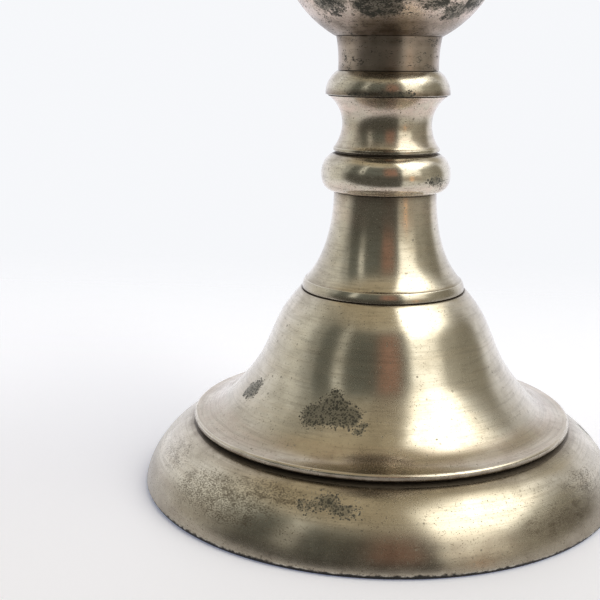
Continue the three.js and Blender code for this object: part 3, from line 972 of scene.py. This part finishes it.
def silvered_brass(name, clean, dull, warm, roughness, mottle=0.0):
    """Old silvered brass: fine turning lines, cloudy dull areas, pits, tarnish marks, dirt in the
    joints darkened further with painted shade, and a black line along the bottom that is partly
    dirt and partly a painted contact shadow. mottle is how much of its tarnish has grown together
    into smoky patches."""
    material, g = new_material(name)
    noises = brass_noises(g)
    shut_in = g.attribute("shut_in")
    hazy = g.smooth(g.add(noises.cloud, g.times(noises.blotch, 0.35)), 0.52, 0.82)
    colour = bare_silver(g, noises, hazy, clean, dull, warm)
    coat_and_shade = film_with_joint_shade(g, noises, shut_in)
    colour = g.mix(coat_and_shade, colour, BROWN_FILM_AND_SHADE)
    colour, pits = fine_pits(g, noises, colour)
    colour, stain, spots, smoky = tarnish_marks(g, noises, mottle, colour)
    # Where neighbouring pieces shut a point in, it darkens: partly dirt, partly painted shade.
    joint_dirt_and_shade = g.smooth(g.add(shut_in, g.swing(noises.blotch, 0.35)), 0.26, 0.56)
    colour = g.mix(g.times(joint_dirt_and_shade, 0.75), colour, DIRT_AND_SHADE)
    # Below about 1.6 mm in height the surface turns black: partly dirt, partly a painted contact
    # shadow where the foot meets the floor.
    bottom_dirt_and_shadow = g.smooth(g.add(noises.z, g.swing(noises.lobes, 0.0022)), 0.0016, 0.0010)
    colour = g.mix(bottom_dirt_and_shadow, colour, BLACK)

    covered = g.either(g.times(stain, 0.35), g.times(joint_dirt_and_shade, 0.5))
    covered = g.either(g.times(g.either(spots, smoky), 0.9), covered)
    covered = g.either(covered, bottom_dirt_and_shadow)
    shine = g.add(g.times(hazy, 0.07), g.swing(noises.fine, 0.12))
    shine = g.add(g.add(roughness, g.times(coat_and_shade, 0.05)), shine)
    waves = g.add(g.times(noises.broad, 0.6), g.times(noises.cloud, 1.2))
    lines = g.add(g.times(noises.fine, 0.4), waves)
    sunk = g.either(g.times(pits, 0.2), g.times(spots, 1.2))
    g.principled({
        "Base Color": colour,
        "Metallic": g.less(1.0, g.times(covered, 0.75)),
        "Roughness": g.add(shine, g.times(g.either(covered, g.times(pits, 0.4)), 0.40)),
        "Anisotropic": 0.45,
        "Anisotropic Rotation": 0.25,
        "Tangent": g.node("ShaderNodeTangent", direction_type="RADIAL", axis="Z").outputs[0],
        "Normal": g.bump(g.less(lines, sunk), 0.5, 0.00002),
    })
    return material


def bare_steel(name):
    """Dull machined steel with rust starting where it lies shut in."""
    material, g = new_material(name)
    place = g.node("ShaderNodeTexCoord").outputs["Object"]
    cloud = g.noise(place, 110, 4.0, 0.6)
    blotch = g.noise(place, 420, 4.0, 0.65)
    grit = g.noise(place, 1900, 2.0, 0.6)
    shut_in = g.attribute("shut_in")
    colour = g.mix(g.smooth(cloud, 0.35, 0.7), STEEL, DULL_STEEL)
    colour = g.mix(g.times(g.attribute("edge"), 0.6), colour, BRIGHT_STEEL)
    rust = g.smooth(g.add(blotch, g.add(g.times(shut_in, 0.25), g.times(grit, 0.3))), 0.76, 0.90)
    colour = g.mix(g.times(rust, 0.85), colour, RUST)
    colour = g.mix(g.times(g.smooth(shut_in, 0.3, 0.6), 0.6), colour, OLD_GREASE)
    g.principled({
        "Base Color": colour,
        "Metallic": g.less(1.0, g.times(rust, 0.8)),
        "Roughness": g.add(g.smooth(cloud, 0.3, 0.7, 0.30, 0.44), g.times(rust, 0.35)),
        "Normal": g.bump(g.add(blotch, grit), 0.4, 0.00005),
    })
    return material


def sand_cast_iron(name):
    """Black painted casting with a sandy skin and rust coming through."""
    material, g = new_material(name)
    place = g.node("ShaderNodeTexCoord").outputs["Object"]
    sand = g.noise(place, 1100, 3.0, 0.7)
    lumps = g.noise(place, 240, 3.0, 0.6)
    cloud = g.noise(place, 55, 4.0, 0.6)
    colour = g.mix(g.smooth(cloud, 0.35, 0.7), IRON_PAINT, WORN_PAINT)
    rust = g.smooth(g.add(lumps, g.times(sand, 0.4)), 0.82, 0.95)
    g.principled({
        "Base Color": g.mix(rust, colour, IRON_RUST),
        "Metallic": 0.1,
        "Roughness": g.smooth(sand, 0.3, 0.7, 0.55, 0.8),
        "Normal": g.bump(g.add(sand, g.times(lumps, 1.5)), 0.7, 0.0003),
    })
    return material


# ---------------------------------------------------------------- the scene

BRASSES = {
    "aged_brass": {
        "clean": (0.64, 0.595, 0.495),
        "dull": (0.47, 0.43, 0.345),
        "warm": (0.61, 0.53, 0.41),
        "roughness": 0.165,
    },
    "pale_brass": {
        "clean": (0.69, 0.645, 0.545),
        "dull": (0.52, 0.48, 0.395),
        "warm": (0.65, 0.57, 0.46),
        "roughness": 0.14,
    },
    "tarnished_brass": {
        "clean": (0.66, 0.575, 0.50),
        "dull": (0.48, 0.41, 0.35),
        "warm": (0.68, 0.54, 0.45),
        "roughness": 0.24,
        "mottle": 1.0,
    },
}

bpy.context.scene.view_settings.view_transform = "Standard"
make_camera()
make_world()
make_floor()
MATERIALS = {name: silvered_brass(name, **look) for name, look in BRASSES.items()}
MATERIALS["steel"] = bare_steel("steel")
MATERIALS["cast_iron"] = sand_cast_iron("cast_iron")
turned_pieces(MATERIALS)
nut_piece("capital_nut", MATERIALS["steel"])
nut_piece("foot_nut", MATERIALS["steel"])
lock_washer_piece(MATERIALS["steel"])
tie_rod_piece(MATERIALS["steel"])
